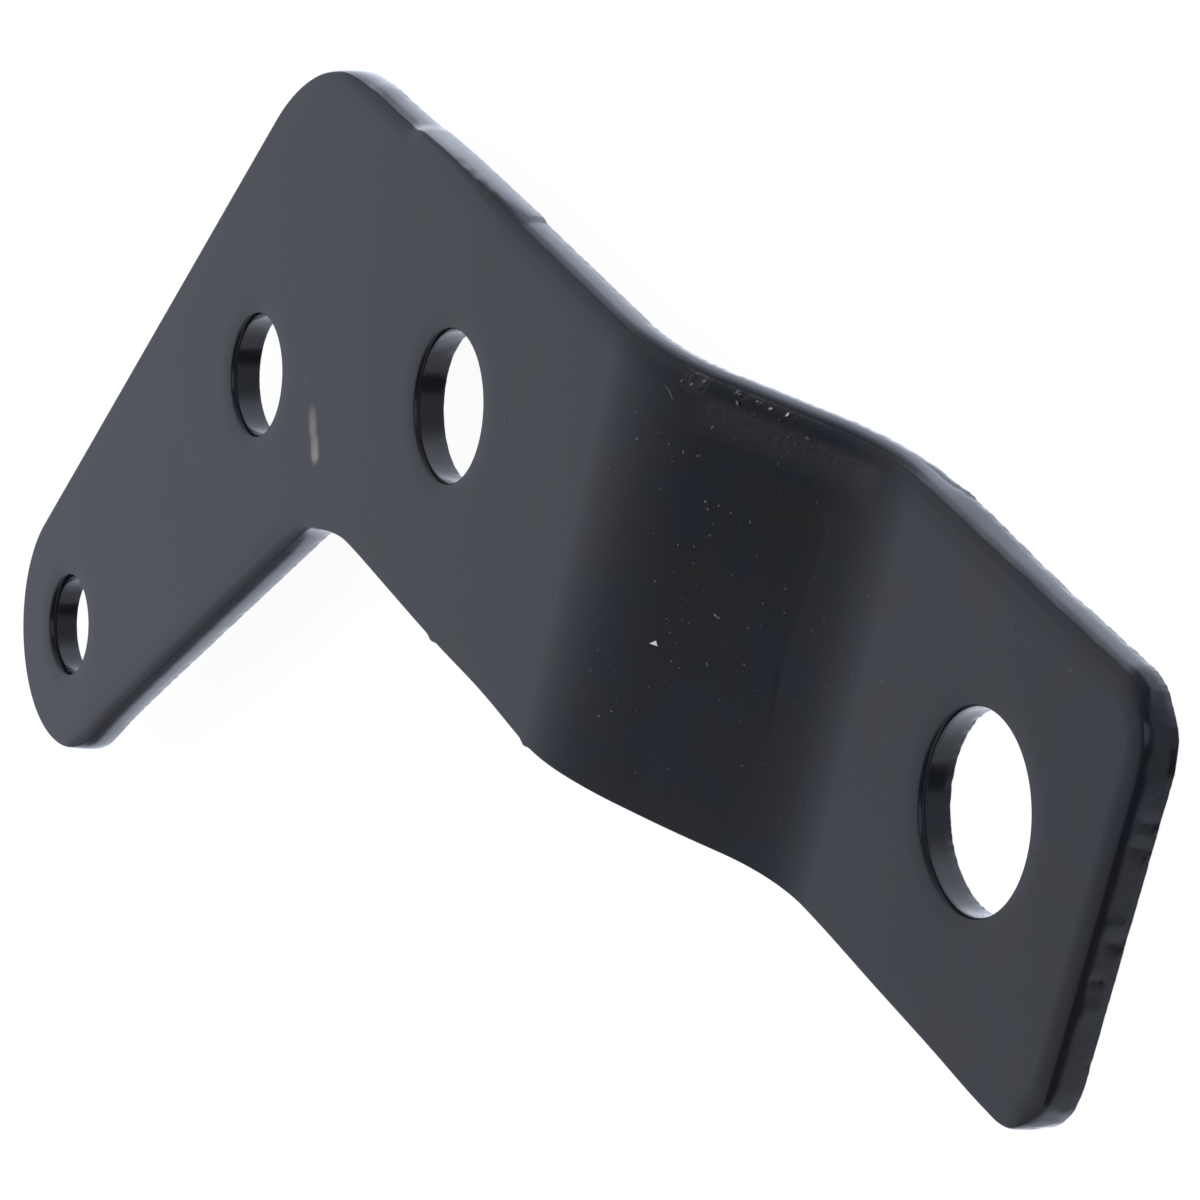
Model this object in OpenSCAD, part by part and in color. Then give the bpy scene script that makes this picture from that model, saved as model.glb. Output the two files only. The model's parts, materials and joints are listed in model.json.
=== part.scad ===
// Idler bracket: one strip of steel plate with two bends that set its end plate lower.
// The high plate carries the pivot bore, a link bore and an angled leg with its own bore.
// The low plate lies on z = 0 and carries the idler bore, whose axis is the origin.
// X runs along the strip, Y across it, and Z is normal to both plates.

/* [Plate] */
// Thickness of the steel plate
plate_t = 3; // [2:0.1:5]
// Width of the strip between its two long edges
strip_w = 38.1; // [32:0.1:44]

/* [Fold] */
// Height of the high plate over the low plate
offset_h = 12.4; // [8:0.1:20]
// Angle between the web and the plates, in degrees
web_angle = 36; // [20:1:44]
// Radius on the inside of both bends
bend_r = 16; // [4:0.5:24]
// From the pivot bore to the first fold line, along the top face
fold_from_pivot = 31.9; // [28:0.1:38]

/* [Low plate] */
// Diameter of the idler bore
idler_bore_d = 15.8; // [8:0.1:20]
// From the idler bore to the end of the plate
end_margin = 19.05; // [14:0.05:30]
// Radius of the two end corners
end_corner_r = 6; // [2:0.5:12]

/* [High plate] */
// Diameter of the pivot bore
pivot_bore_d = 13; // [6:0.1:18]
// From the pivot bore to the idler bore, along the strip
bore_span = 73.2; // [68:0.1:100]
// Diameter of the link bore
link_bore_d = 11; // [5:0.1:14]
// From the pivot bore back to the link bore, along the strip
link_back = 37.6; // [30:0.1:44]
// From the pivot bore down to the link bore, across the strip
link_drop = 14; // [4:0.1:20]
// Radius of the corner at the head of the outer edge
head_corner_r = 21.5; // [8:0.5:28]

/* [Leg] */
// Diameter of the leg bore
leg_bore_d = 9.5; // [5:0.1:14]
// From the pivot bore back to the leg bore, along the strip
leg_back = 67.4; // [60:0.1:76]
// From the pivot bore down to the leg bore, across the strip
leg_drop = 54.5; // [46:0.1:70]
// Radius of the rounded leg end, around the leg bore
leg_end_r = 12; // [9:0.1:14]
// Lean of the outer edge away from the strip's cross direction, in degrees
outer_lean = 30.5; // [24:0.5:34]
// Lean of the inner edge away from the strip's cross direction, in degrees
inner_lean = 42.4; // [38:0.2:50]
// Radius of the fillet between the leg and the strip
crotch_r = 13; // [4:0.5:20]

/* [Shear marks] */
// How far the proud stretch of the upper edge stands out
proud_h = 0.35; // [0.1:0.05:0.8]
// Length of the proud stretch
proud_l = 20.4; // [10:0.1:24]
// From the pivot bore to the end of the proud stretch nearer the fold
proud_from_pivot = 4.2; // [0:0.1:8]
// How far each nib stands out from the lower edge
nib_h = 0.25; // [0.1:0.05:0.6]
// Radius of each nib
nib_r = 0.8; // [0.4:0.1:1.5]
// From the pivot bore to the nib nearer the leg
nib_from_pivot = 6.3; // [2:0.1:7]
// Distance between the two nibs
nib_pitch = 19.6; // [15:0.1:24]

/* [Hidden] */
$fn = 96;

half_w = strip_w / 2;
top_z = offset_h + plate_t;                  // top face of the high plate
cut_over = 1;                                // how far cutting tools run past a face
seam = 0.002;                                // overlap of an arc with the edges it runs into

pivot = [-bore_span, 0];
link = pivot + [-link_back, -link_drop];
leg = pivot + [-leg_back, -leg_drop];

// The two fold lines, measured on the top face
fold1_x = pivot[0] + fold_from_pivot;
fold2_x = fold1_x + offset_h / tan(web_angle);

// The leg's two straight edges touch its end circle on these outward normals
outer_normal = [-cos(outer_lean), sin(outer_lean)];
inner_normal = [cos(inner_lean), -sin(inner_lean)];
outer_touch = leg + leg_end_r * outer_normal;
inner_touch = leg + leg_end_r * inner_normal;

// Where those edges meet the long edges of the strip
function at_height(p, lean, y) = [p[0] + (y - p[1]) * tan(lean), y];
head_corner = at_height(outer_touch, outer_lean, half_w);
crotch_corner = at_height(inner_touch, inner_lean, -half_w);

function unit(v) = v / norm(v);

// What lies between a corner and the arc that touches both its edges, from a little beyond them.
// The points a and b give the directions of the two edges. The arc is let in by the seam.
module corner_web(corner, a, b, r) {
    u = unit(a - corner);
    v = unit(b - corner);
    half = acos(u * v) / 2;
    centre = corner + r / sin(half) * unit(u + v);
    past = 1 + cut_over / r;
    difference() {
        polygon([
            centre, centre + past * (corner + r / tan(half) * v - centre),
            centre + past * (corner - centre), centre + past * (corner + r / tan(half) * u - centre)
        ]);
        translate(centre) circle(r + seam);
    }
}

// The proud stretch left on the upper edge, with a short ramp at each end
module proud_stretch() {
    right = pivot[0] + proud_from_pivot;
    left = right - proud_l;
    ramp = 2 * proud_h;
    polygon([
        [left - ramp, half_w], [left - ramp, half_w - ramp], [right + ramp, half_w - ramp],
        [right + ramp, half_w], [right, half_w + proud_h], [left, half_w + proud_h]
    ]);
}

// The two nibs left on the lower edge
module nibs() {
    for (i = [0, 1])
        translate([pivot[0] + nib_from_pivot + i * nib_pitch, -half_w - nib_h + nib_r]) circle(nib_r);
}

// The plate's outline seen from above
module outline() {
    end_top = [end_margin, half_w];
    end_bottom = [end_margin, -half_w];
    difference() {
        union() {
            polygon([end_top, head_corner, outer_touch, inner_touch, crotch_corner, end_bottom]);
            translate(leg) circle(leg_end_r + seam);
            corner_web(crotch_corner, inner_touch, end_bottom, crotch_r);
            proud_stretch();
            nibs();
        }
        corner_web(head_corner, outer_touch, end_top, head_corner_r);
        corner_web(end_top, head_corner, end_bottom, end_corner_r);
        corner_web(end_bottom, crotch_corner, end_top, end_corner_r);
    }
}

// All that lies below one face of the plate, seen along Y, with z drawn as y.
// The face is depth below the top face, and each fold is rounded to its own radius.
module below_face(depth, first_r, second_r) {
    past = cut_over + depth;
    shift = depth * tan(web_angle / 2);
    left = [leg[0] - leg_end_r - past, top_z - depth];
    first = [fold1_x - shift, top_z - depth];
    second = [fold2_x - shift, plate_t - depth];
    right = [end_margin + past, plate_t - depth];
    bottom = -plate_t - past;
    difference() {
        union() {
            polygon([left, first, second, right, [right[0], bottom], [left[0], bottom]]);
            corner_web(second, first, right, second_r);
        }
        corner_web(first, left, second, first_r);
    }
}

// The plate's section along the strip
module section() {
    outer_r = bend_r + plate_t;
    difference() {
        below_face(0, outer_r, bend_r);
        below_face(plate_t, bend_r, outer_r);
    }
}

module bore(p, d, z) {
    translate([p[0], p[1], z - cut_over]) cylinder(h = plate_t + 2 * cut_over, d = d);
}

module bracket() {
    depth = 2 * (leg_drop + leg_end_r + half_w);
    color([0.27, 0.27, 0.29])
    difference() {
        intersection() {
            rotate([90, 0, 0]) linear_extrude(depth, center = true) section();
            translate([0, 0, -cut_over]) linear_extrude(top_z + 2 * cut_over) outline();
        }
        bore([0, 0], idler_bore_d, 0);
        bore(pivot, pivot_bore_d, offset_h);
        bore(link, link_bore_d, offset_h);
        bore(leg, leg_bore_d, offset_h);
    }
}

bracket();
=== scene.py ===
import bpy
import json
import math
import random
import numpy as np
from mathutils import Matrix, Vector, noise
from mathutils.geometry import delaunay_2d_cdt


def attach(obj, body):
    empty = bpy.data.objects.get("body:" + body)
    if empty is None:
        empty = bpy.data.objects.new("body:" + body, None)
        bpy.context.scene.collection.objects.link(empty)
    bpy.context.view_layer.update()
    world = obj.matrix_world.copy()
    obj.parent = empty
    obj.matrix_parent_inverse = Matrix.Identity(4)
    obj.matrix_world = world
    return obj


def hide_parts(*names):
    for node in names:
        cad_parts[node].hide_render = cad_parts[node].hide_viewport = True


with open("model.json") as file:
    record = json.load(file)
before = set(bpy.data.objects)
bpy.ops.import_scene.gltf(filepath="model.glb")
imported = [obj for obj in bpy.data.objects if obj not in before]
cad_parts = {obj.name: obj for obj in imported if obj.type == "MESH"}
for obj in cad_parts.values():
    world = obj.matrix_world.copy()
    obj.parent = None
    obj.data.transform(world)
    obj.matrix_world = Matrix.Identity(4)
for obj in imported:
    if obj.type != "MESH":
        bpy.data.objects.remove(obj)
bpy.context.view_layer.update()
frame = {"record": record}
mm = 0.001                                   # the sizes below are in millimetres


# Camera: where it stands, what it looks at, and how far it is rolled
cameraView = {
    "place": (312.684, 170.424, 222.227),
    "aim": (-60.190, -11.881, 3.850),
    "roll": -89.403,
    "lens": 165.17,
    "sensor": 36.0,
    "clip": (0.01, 20.0),                    # in metres
}


def makeCamera(view):
    camera = bpy.data.objects.new("camera", bpy.data.cameras.new("camera"))
    bpy.context.scene.collection.objects.link(camera)
    camera.data.lens = view["lens"]
    camera.data.sensor_width = view["sensor"]
    camera.data.clip_start, camera.data.clip_end = view["clip"]
    place = Vector(view["place"]) * mm
    turn = (Vector(view["aim"]) * mm - place).to_track_quat("-Z", "Y").to_matrix()
    turn = turn @ Matrix.Rotation(math.radians(view["roll"]), 3, "Z")
    camera.matrix_world = Matrix.Translation(place) @ turn.to_4x4()
    bpy.context.scene.camera = camera


makeCamera(cameraView)
print("camera placed")


# The four bores: how far their rims roll in and how rough their back rims are.
# Their places and radii are those of the mounts.
bores = {
    "idler_bore": {"roll": 0.6, "sink": 0.1, "tear": 0.2},
    "pivot_bore": {"roll": 0.5, "sink": 0.1, "tear": 0.08},
    "link_bore": {"roll": 0.5, "sink": 0.1, "tear": 0.05},
    "leg_bore": {"roll": 0.6, "sink": 0.1, "tear": 0.05},
}
for mount in frame["record"]["mounts"]:
    if mount["name"] in bores:
        bore = bores[mount["name"]]
        bore["at"] = [round(place / mm, 3) for place in mount["pos_m"][:2]]
        bore["radius"] = mount["dims"]["r_mm"]

# The plate's own sizes, the same as in the CAD
plate = {
    "thick": 3.0,
    "halfWidth": 19.05,
    "offset": 12.4,
    "webAngle": 36.0,
    "insideRadius": 16.0,
    "firstFold": -41.3,                      # x of the first fold line, on the top face
    "endX": 19.05,
    "endRadius": 6.0,
    "headRadius": 21.5,
    "crotchRadius": 13.0,
    "leg": bores["leg_bore"]["at"],
    "legRadius": 12.0,
    "outerLean": 30.5,
    "innerLean": 42.4,
}

webAngle = math.radians(plate["webAngle"])
topZ = plate["offset"] + plate["thick"]
convexRadius = plate["insideRadius"] + plate["thick"]
concaveRadius = plate["insideRadius"]
secondFold = plate["firstFold"] + plate["offset"] / math.tan(webAngle)
bendOne = Vector((plate["firstFold"] - convexRadius * math.tan(webAngle / 2), topZ - convexRadius))
bendTwo = Vector((secondFold + concaveRadius * math.tan(webAngle / 2), plate["thick"] + concaveRadius))
webTop = bendOne + convexRadius * Vector((math.sin(webAngle), math.cos(webAngle)))
webFoot = bendTwo - concaveRadius * Vector((math.sin(webAngle), math.cos(webAngle)))

# Stations along the top face, unrolled: s is x on the high plate and runs on over the bends
bendOneStart = bendOne.x
webStart = bendOneStart + convexRadius * webAngle
webEnd = webStart + (webFoot - webTop).length
bendTwoEnd = webEnd + concaveRadius * webAngle
lowShift = bendTwoEnd - bendTwo.x


# x, z and the slope angle of the top face at the stations s
def foldStrip(s):
    s = np.asarray(s, float)
    x = s.copy()
    z = np.full_like(s, topZ)
    angle = np.zeros_like(s)
    part = (s > bendOneStart) & (s <= webStart)
    angle[part] = (s[part] - bendOneStart) / convexRadius
    x[part] = bendOne.x + convexRadius * np.sin(angle[part])
    z[part] = bendOne.y + convexRadius * np.cos(angle[part])
    part = (s > webStart) & (s <= webEnd)
    angle[part] = webAngle
    x[part] = webTop.x + (s[part] - webStart) * math.cos(webAngle)
    z[part] = webTop.y - (s[part] - webStart) * math.sin(webAngle)
    part = (s > webEnd) & (s <= bendTwoEnd)
    angle[part] = webAngle - (s[part] - webEnd) / concaveRadius
    x[part] = bendTwo.x - concaveRadius * np.sin(angle[part])
    z[part] = bendTwo.y - concaveRadius * np.cos(angle[part])
    part = s > bendTwoEnd
    x[part] = s[part] - lowShift
    z[part] = plate["thick"]
    return x, z, angle


# Points of the folded plate, in mm, at a depth below the top face
def intoSpace(s, y, depth):
    x, z, angle = foldStrip(s)
    return np.stack([x - depth * np.sin(angle), y + 0 * x, z - depth * np.cos(angle)], 1)


# The station of a place on one of the two plates
def stationOf(x):
    return x + lowShift if x > bendTwo.x else x


# From 0 at the start to 1 at the end, with soft ends. The end may be the lower value.
def fade(value, start, end):
    t = np.clip((value - start) / (end - start), 0, 1)
    return t * t * (3 - 2 * t)


def hump(value, middle, half):
    return np.exp(-((value - middle) / half) ** 2)


# 1 on the web and most of its bends, 0 on the plates
def onWeb(s):
    return fade(s, bendOneStart - 3, bendOneStart + 5) * fade(s, bendTwoEnd + 2, bendTwoEnd - 6)


# Soft noise for whole arrays of places. A lone number there only picks another part of the noise.
def noiseAt(a, b, c):
    a, b, c = np.broadcast_arrays(a, b, c)
    places = zip(a.ravel().tolist(), b.ravel().tolist(), c.ravel().tolist())
    return np.array([noise.noise(Vector(place)) for place in places]).reshape(a.shape)


# A clockwise closed loop through corners (x, y, radius): its points and outward normals
def roundedLoop(corners, step):
    points, normals = [], []
    count = len(corners)
    ends = []
    for i in range(count):
        before = Vector(corners[i - 1][:2])
        here = Vector(corners[i][:2])
        after = Vector(corners[(i + 1) % count][:2])
        toBefore = (before - here).normalized()
        toAfter = (after - here).normalized()
        half = math.acos(max(-1, min(1, toBefore.dot(toAfter)))) / 2
        radius = corners[i][2]
        reach = radius / math.tan(half)
        centre = here + (toBefore + toAfter).normalized() * radius / math.sin(half)
        ends.append((here + toBefore * reach, here + toAfter * reach, centre, radius))
    for i in range(count):
        start, stop, centre, radius = ends[i]
        a0 = math.atan2(*(start - centre).yx)
        a1 = math.atan2(*(stop - centre).yx)
        sweep = (a1 - a0 + math.pi) % (2 * math.pi) - math.pi
        steps = max(4, int(abs(sweep) * radius / step))
        for k in range(steps):
            a = a0 + sweep * k / steps
            out = Vector((math.cos(a), math.sin(a)))
            points.append(centre + out * radius)
            normals.append(out * (1 if sweep < 0 else -1))
        run = ends[(i + 1) % count][0] - stop
        steps = max(1, int(run.length / step))
        along = run.normalized()
        for k in range(steps):
            points.append(stop + run * k / steps)
            normals.append(Vector((-along.y, along.x)))
    return np.array([tuple(p) for p in points]), np.array([tuple(n) for n in normals])


# The outline's corners seen unrolled, clockwise from the free end's upper corner
def plateCorners():
    half = plate["halfWidth"]
    leg = Vector(plate["leg"])
    outer = math.radians(plate["outerLean"])
    inner = math.radians(plate["innerLean"])
    outerTouch = leg + plate["legRadius"] * Vector((-math.cos(outer), math.sin(outer)))
    innerTouch = leg + plate["legRadius"] * Vector((math.cos(inner), -math.sin(inner)))
    headX = outerTouch.x + (half - outerTouch.y) * math.tan(outer)
    crotchX = innerTouch.x + (-half - innerTouch.y) * math.tan(inner)
    # the two leg edges meet far beyond the rounded leg end
    between = outerTouch.x - innerTouch.x - (outerTouch.y - innerTouch.y) * math.tan(inner)
    legY = outerTouch.y - between / (math.tan(outer) - math.tan(inner))
    legX = outerTouch.x + (legY - outerTouch.y) * math.tan(outer)
    end = stationOf(plate["endX"])
    return [
        (end, half, plate["endRadius"]), (end, -half, plate["endRadius"]),
        (crotchX, -half, plate["crotchRadius"]), (legX, legY, plate["legRadius"]),
        (headX, half, plate["headRadius"]),
    ]


# Edge section, from the visible face over the roll and down the wall to the back face
edge = {
    "step": 0.4,                             # spacing of the points along the edges
    "fineStep": 0.12, "fineFrom": -40.0, "fineTo": -22.0,    # beside the blistered paint
    "endStep": 0.2, "endFrom": 12.0,         # round the free end
    "drawWidth": 2.75, "drawRows": 11,       # the face sinks towards the edge over this width
    "wallRows": 13, "backRound": 0.1,
    "backInsets": (0.6, 1.6),                # two more rows on the back face
}
# Three ways in which a face rolls over into its wall, as insets and depths
rolls = {
    "small": ((0.589, 0.0), (0.477, 0.03), (0.394, 0.1), (0.31, 0.22), (0.214, 0.4), (0.125, 0.6),
              (0.06, 0.8), (0.021, 1.0), (0.004, 1.2), (0.0, 1.4)),
    "wide": ((1.22, 0.0), (1.1, 0.04), (0.98, 0.09), (0.87, 0.15), (0.77, 0.21), (0.67, 0.29),
             (0.58, 0.37), (0.51, 0.48), (0.45, 0.6), (0.33, 0.86)),
    "sloped": ((1.05, 0.0), (0.96, 0.035), (0.87, 0.085), (0.81, 0.13), (0.76, 0.18), (0.71, 0.24),
               (0.66, 0.32), (0.56, 0.48), (0.46, 0.68), (0.38, 0.88)),
}
# How each stretch of the outline was cut. The face sinks to the roll, which is a share of one of
# those above. The wall bulges out below it and leans in again towards the back. A cut holds where
# the outline faces far enough its way, past the stations that it begins at.
cuts = {
    "outer": {"shape": "small", "roll": 0.3, "sink": 0.02, "bulge": 0.0, "lean": 0.06, "turn": 3.5},
    "upper": {"shape": "wide", "roll": 1.0, "sink": 0.16, "bulge": 0.17, "lean": 0.17, "turn": 3.5,
              "facing": (0.6, 0.95), "begins": (-111.0, -100.0)},
    "lower": {"shape": "small", "roll": 0.35, "sink": 0.02, "bulge": 0.1, "lean": 0.1, "turn": 3.5,
              "facing": (-0.6, -0.95), "begins": -93.0},
    "inner": {"shape": "wide", "roll": 1.05, "sink": 0.12, "bulge": 0.24, "lean": 0.16, "turn": 3.0,
              "facing": (0.35, 0.7), "begins": (-89.0, -99.0)},
    "end": {"shape": "sloped", "roll": 1.0, "sink": 0.27, "bulge": 0.07, "lean": 0.0, "turn": 1.7,
            "facing": (0.3, 0.9), "begins": 0.0},
}
# The upper edge is sharper beside its proud stretch, and rounder on the web
upperRoll = {
    "sharpens": (-92.0, -88.0),
    "lessRoll": 0.7, "rollReturns": (-66.0, -86.0),
    "lessSink": 0.8, "sinkReturns": (-62.0, -88.0),
    "moreOnWeb": 0.3,
}


# How much of each kind of cut a point of the outline has, and the section that follows from it
def cutValues(loop, normals):
    s = loop[:, 0]
    upper, lower, inner, end = (cuts[name] for name in ("upper", "lower", "inner", "end"))
    shares = {
        "upper": fade(normals[:, 1], *upper["facing"]) * fade(s, *upper["begins"]),
        "end": fade(normals[:, 0], *end["facing"]) * (s > end["begins"]),
        "inner": fade(normals[:, 0], *inner["facing"]) * fade(s, *inner["begins"]),
        "lower": fade(normals[:, 1], *lower["facing"]) * (s > lower["begins"]),
    }
    shares["outer"] = np.clip(1 - sum(shares.values()), 0, 1)
    total = sum(shares.values())
    values = {}
    for name in ("sink", "bulge", "lean", "turn"):
        values[name] = sum(shares[cut] * cuts[cut][name] for cut in cuts) / total
    mixed = 0
    for cut in cuts:
        share = shares[cut] / total * cuts[cut]["roll"]
        mixed = mixed + np.array(rolls[cuts[cut]["shape"]])[:, :, None] * share
    begun = fade(s, *upperRoll["sharpens"]) * shares["upper"]
    sharp = 1 - upperRoll["lessRoll"] * begun * fade(s, *upperRoll["rollReturns"])
    flatter = 1 - upperRoll["lessSink"] * begun * fade(s, *upperRoll["sinkReturns"])
    rounder = 1 + upperRoll["moreOnWeb"] * onWeb(s) * shares["upper"]
    values["rows"] = mixed * sharp * rounder    # row, inset or depth, point of the outline
    values["bulge"] = values["bulge"] * sharp
    values["sink"] = values["sink"] * flatter
    return values, shares


# Insets and depths of all rows of an edge, one column for each point of its loop
def edgeRows(values, drawWidth, drawRows, wallRows):
    thick = plate["thick"]
    sink, bulge, lean = values["sink"], values["bulge"], values["lean"]
    level = np.ones_like(sink)
    insets, depths = [], []
    start = values["rows"][0, 0] - bulge
    for k in range(drawRows):
        t = k / drawRows
        insets.append(drawWidth + (start - drawWidth) * t)
        depths.append(sink * t * t)
    for inset, depth in values["rows"]:
        insets.append(inset - bulge)
        depths.append(sink + depth)
    low, foot = depths[-1], values["rows"][-1, 0]
    bottom = thick - edge["backRound"]
    for k in range(1, wallRows + 1):
        depth = low + (bottom - low) * k / wallRows
        leant = lean * ((depth - low) / (thick - low)) ** 2
        insets.append(foot * (1 - k / wallRows) ** values["turn"] + leant - bulge)
        depths.append(depth)
    last = insets[-1]
    for k in (1, 2, 3):
        a = math.pi / 2 * k / 3
        insets.append(last + edge["backRound"] * (1 - math.cos(a)))
        depths.append((bottom + edge["backRound"] * math.sin(a)) * level)
    for more in edge["backInsets"]:
        insets.append(last + edge["backRound"] + more)
        depths.append(thick * level)
    return np.array(insets), np.array(depths)


# Outward and upward parts of the surface normal in each row's section
def rowNormals(insets, depths):
    along = np.gradient(insets, axis=0)
    down = np.gradient(depths, axis=0)
    size = np.hypot(along, down) + 1e-9
    return down / size, -along / size


# Marks in the paint on the visible face, and painted highlights, at stations and heights across the strip
faceMarks = {
    # the stretch beside the web's upper edge that blistered, and how fast its noise changes
    "blistered": {"from": -42.0, "to": -20.0, "low": 14.0, "wobble": 1.3, "fine": 4.0},
    "blister": {"at": (-37.74, 18.35), "rings": ((1.2, 0.14, 0.05), (0.62, 0.14, 0.07)),
                "dip": 0.05, "dipHalf": 0.3, "pale": 0.01, "paleEnds": (1.5, 1.2)},
    "pits": ((-34.6, 18.8, 0.22, 0.05), (-33.6, 18.6, 0.45, 0.09), (-32.3, 18.65, 0.3, 0.07),
             (-31.7, 18.5, 0.2, 0.05), (-29.0, 18.7, 0.3, 0.08), (-26.4, 18.8, 0.2, 0.05)),
    "pitRim": 0.4, "pitRimHalf": 0.12, "pitHalf": 0.6,
    # painted highlights: pale spots in the paint that stand for glints of light on the pits
    "paintedGlints": ((-34.23, 18.86, 0.1, 0.5), (-34.0, 18.7, 0.08, 0.6), (-32.4, 18.8, 0.08, 0.5),
               (-32.0, 18.7, 0.08, 0.45), (-31.07, 18.61, 0.11, 0.8), (-29.55, 18.68, 0.13, 1.0),
               (-38.1, 17.95, 0.08, 0.4), (-37.2, 18.6, 0.12, 0.35)),
    "paintedGlintWidth": 1.6, "paintedGlintCore": 0.5,     # outer and bright part of a painted highlight across the strip, in radii
    "scuff": {"from": -37.0, "to": -20.0, "low": 15.2, "high": 17.6, "tone": 0.02, "rough": 0.002,
              "softAlong": 1.5, "softLow": 2.2, "softHigh": 0.5},
    "crease": {"at": -24.5, "bowTop": 0.75, "bowTopEnds": (-1.0, 12.0), "bowFoot": 0.45,
               "bowFootEnds": (-1.0, -9.0), "foot": (-9.0, -2.0), "top": 11.2, "topSoft": 0.15,
               "half": 0.42, "depth": 0.05},
    "smears": ((-97.7, -12.1, -97.1, -13.1, 0.85, 0.26), (-96.3, -13.9, -95.6, -15.0, 0.85, 0.36)),
    "smearRim": (1.3, 0.45),                 # where a smear fades out, in its half widths
    "spot": (-100.4, -9.84, 0.5, 0.025),
    "foreshortened": 0.46,                   # how far a mark shifts across the strip with depth
}


# The valley crease bows a little towards the free end at both its ends
def creaseStation(y):
    crease = faceMarks["crease"]
    bow = crease["bowTop"] * fade(y, *crease["bowTopEnds"])
    return crease["at"] + bow + crease["bowFoot"] * fade(y, *crease["bowFootEnds"])


# The blister, the pits, the scuff and the painted glints beside the web's upper edge. The glints are
# painted highlights, pale spots in the paint.
def markBlistered(s, y):
    marks = faceMarks
    wobble = noiseAt(s * marks["blistered"]["wobble"], y * marks["blistered"]["wobble"], 4.0)
    fine = noiseAt(s * marks["blistered"]["fine"], y * marks["blistered"]["fine"], 9.0)
    rise = np.zeros(s.shape)
    pale = np.zeros(s.shape)
    blister = marks["blister"]
    r = np.hypot(s - blister["at"][0], y - blister["at"][1]) * (1 + 0.25 * wobble)
    for radius, half, high in blister["rings"]:
        rise += high * hump(r, radius, half) * (1 + 0.8 * fine)
    rise -= blister["dip"] * hump(r, 0, blister["dipHalf"])
    pale += blister["pale"] * fade(r, *blister["paleEnds"])
    for at, up, radius, deep in marks["pits"]:
        r = np.hypot(s - at, y - up) * (1 + 0.5 * wobble)
        rise += marks["pitRim"] * deep * hump(r, radius, marks["pitRimHalf"])
        rise -= deep * hump(r, 0, marks["pitHalf"] * radius)
    scuff = marks["scuff"]
    soft = scuff["softAlong"]
    on = fade(s, scuff["from"] - soft, scuff["from"] + soft)
    on *= fade(s, scuff["to"] + soft, scuff["to"] - soft)
    soft = scuff["softLow"]
    on *= fade(y, scuff["low"] - soft, scuff["low"] + soft)
    soft = scuff["softHigh"]
    on *= fade(y, scuff["high"] + soft, scuff["high"] - soft)
    rise += on * scuff["rough"] * 2 * fine
    pale += on * scuff["tone"] * (1 + 0.9 * fine)
    # painted highlights, laid into the paint's pale tone
    for at, up, radius, bright in marks["paintedGlints"]:
        r = np.hypot(marks["paintedGlintWidth"] * (s - at), y - up) / radius
        pale = np.maximum(pale, bright * fade(r, marks["paintedGlintWidth"], marks["paintedGlintCore"]))
    return rise, pale


# How far the marks stand out of the face, and how pale they are, with painted highlights among them
def markFace(s, y):
    marks = faceMarks
    height = np.zeros(s.shape)
    tone = np.zeros(s.shape)
    area = marks["blistered"]
    near = (s > area["from"]) & (s < area["to"]) & (y > area["low"])
    if near.any():
        rise, pale = markBlistered(s[near], y[near])
        height[near] += rise
        tone[near] += pale
    crease = marks["crease"]
    top, soft = crease["top"], crease["topSoft"]
    there = fade(y, *crease["foot"]) * fade(y, top + soft, top - soft)
    height -= crease["depth"] * there * hump(s, creaseStation(y), crease["half"])
    for s0, y0, s1, y1, half, bright in marks["smears"]:
        along, across = s1 - s0, y1 - y0
        t = np.clip(((s - s0) * along + (y - y0) * across) / (along ** 2 + across ** 2), 0, 1)
        r = np.hypot(s - s0 - t * along, y - y0 - t * across) / half
        tone = np.maximum(tone, bright * (0.7 + 0.3 * t) * fade(r, *marks["smearRim"]))
    at, up, radius, bright = marks["spot"]
    tone = np.maximum(tone, bright * hump(np.hypot(s - at, y - up), 0, radius))
    return height, tone


# How far in from the edge each kind of mark still moves the rows: where it ends, where it is whole
rowReach = {"wall": (1.2, 0.3), "back": (1.2, 0.4), "rim": (1.2, 0.0), "face": (2.6, 0.0)}

# Marks that the shears left on the walls. Lengths and depths are along and down the wall.
shearMarks = {
    "wave": 0.03, "waveLength": 2.6, "slant": 1.1,
    "grain": 0.006, "grainLength": 0.45,
    "wall": (0.1, 0.9), "back": (2.2, 2.9),  # depths at which the wall and its back edge begin
    "tear": 0.09, "tearLength": 1.0,
    "fineTear": 0.4, "fineLength": 0.4,
    "roughTear": 0.5, "roughLength": 0.25,   # and more between these stations of the upper edge
    "roughFrom": (-17.0, -14.0), "roughTo": 20.0,
}


def addShearMarks(out, loop, depths, near):
    marks = shearMarks
    s, y = loop[:, 0], loop[:, 1]
    steps = np.hypot(*(np.roll(loop, -1, 0) - loop).T)
    run = np.cumsum(steps) - steps
    onWall = fade(depths, *marks["wall"]) * near["wall"]
    back = fade(depths, *marks["back"]) * near["back"]
    rough = fade(s, *marks["roughFrom"]) * (s < marks["roughTo"]) * (y > 0)
    slanted = run[None] + marks["slant"] * depths
    wave = 0.5 + 0.5 * noiseAt(slanted / marks["waveLength"], 0.3 * depths, 1.0)
    out -= marks["wave"] * (1 + rough) * onWall * wave
    grain = noiseAt(slanted / marks["grainLength"], 0.4 * depths, 6.0)
    out -= marks["grain"] * (1 + 2 * rough) * onWall * grain
    tears = np.abs(noiseAt(run / marks["tearLength"], 0.0, 7.3))
    tears += marks["fineTear"] * np.abs(noiseAt(run / marks["fineLength"], 3.0, 2.2))
    tears += marks["roughTear"] * rough * np.abs(noiseAt(run / marks["roughLength"], 8.0, 4.1))
    out -= marks["tear"] * (1 + rough) * tears[None] * back


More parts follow.
